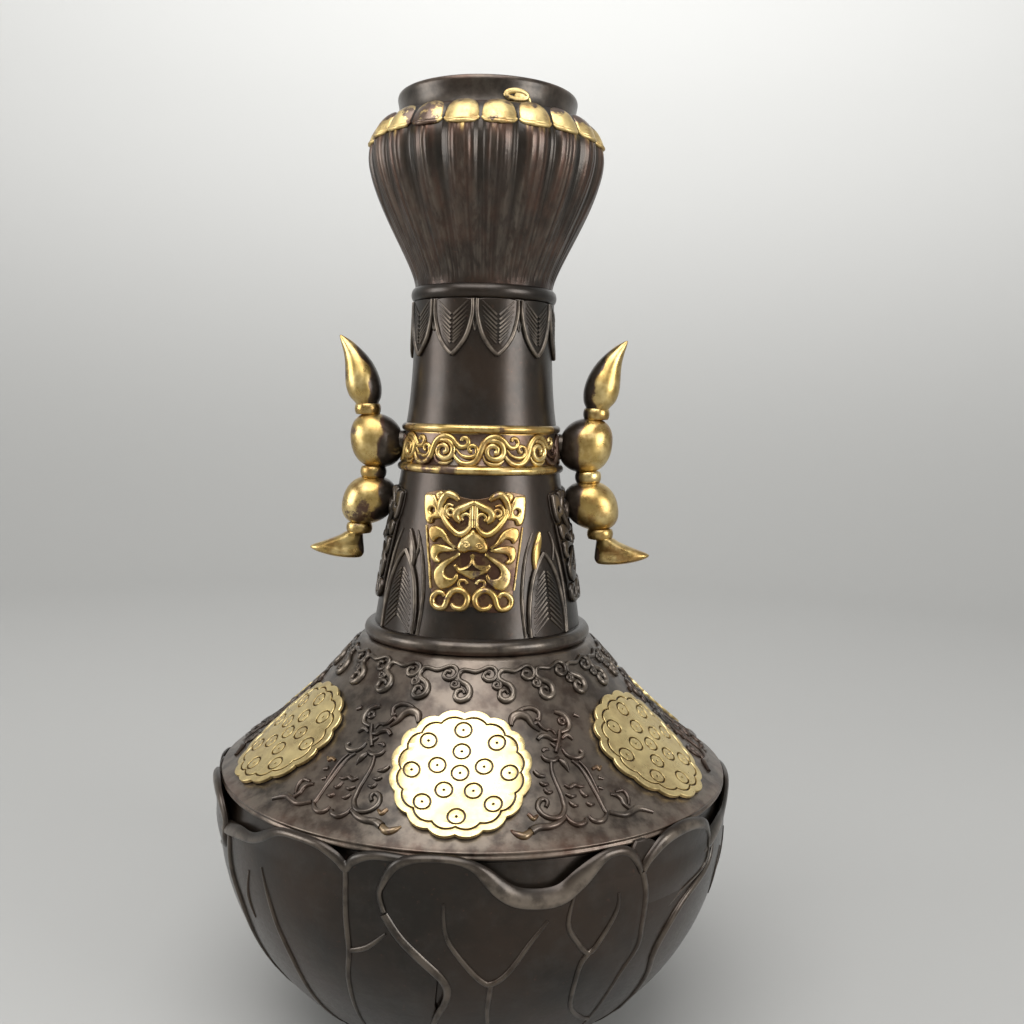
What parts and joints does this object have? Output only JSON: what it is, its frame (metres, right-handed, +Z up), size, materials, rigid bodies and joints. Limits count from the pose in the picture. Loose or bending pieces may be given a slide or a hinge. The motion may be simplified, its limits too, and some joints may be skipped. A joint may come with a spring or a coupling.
{
  "type": "two-handled vase",
  "caption": "Cast bronze bottle vase with a fluted garlic-shaped mouth, lotus-leaf bowl, gilt ornament and flame-topped side handles; holds dry or fresh stems.",
  "frame": {"origin": "centre of the foot ring's underside, on the vase's axis", "axes": "+Z up along the vase's axis, front mask plaque at -Y, handles at +X and -X"},
  "size_m": [0.1708, 0.1712, 0.3],
  "materials": {
    "dark_bronze": "dark brown patinated bronze, semi-gloss",
    "warm_bronze": "patinated bronze with reddish worn tints, semi-gloss",
    "gilding": "rubbed gilding over bronze, satin to bright",
    "rivet_metal": "raw brass, dull"
  },
  "bodies": {
    "root": {"foot_ring": "dark_bronze", "base_disc": "dark_bronze", "lotus_leaf_bowl": "dark_bronze", "shoulder": "warm_bronze", "neck_foot_moulding": "dark_bronze", "lower_neck": "dark_bronze", "gilt_band": "gilding", "upper_neck": "dark_bronze", "neck_top_moulding": "dark_bronze", "garlic_head": "warm_bronze", "mouth_rim": "dark_bronze", "medallion_1": "gilding", "medallion_2": "gilding", "medallion_3": "gilding", "medallion_4": "gilding", "medallion_5": "gilding", "medallion_6": "gilding", "mask_plaque_front": "gilding", "mask_plaque_back": "gilding", "mask_plaque_right": "dark_bronze", "mask_plaque_left": "dark_bronze", "handle_right": "gilding", "handle_left": "gilding", "upper_rivet_right": "rivet_metal", "upper_rivet_left": "rivet_metal", "lower_rivet_right": "rivet_metal", "lower_rivet_left": "rivet_metal"}
  },
  "joints": []
}
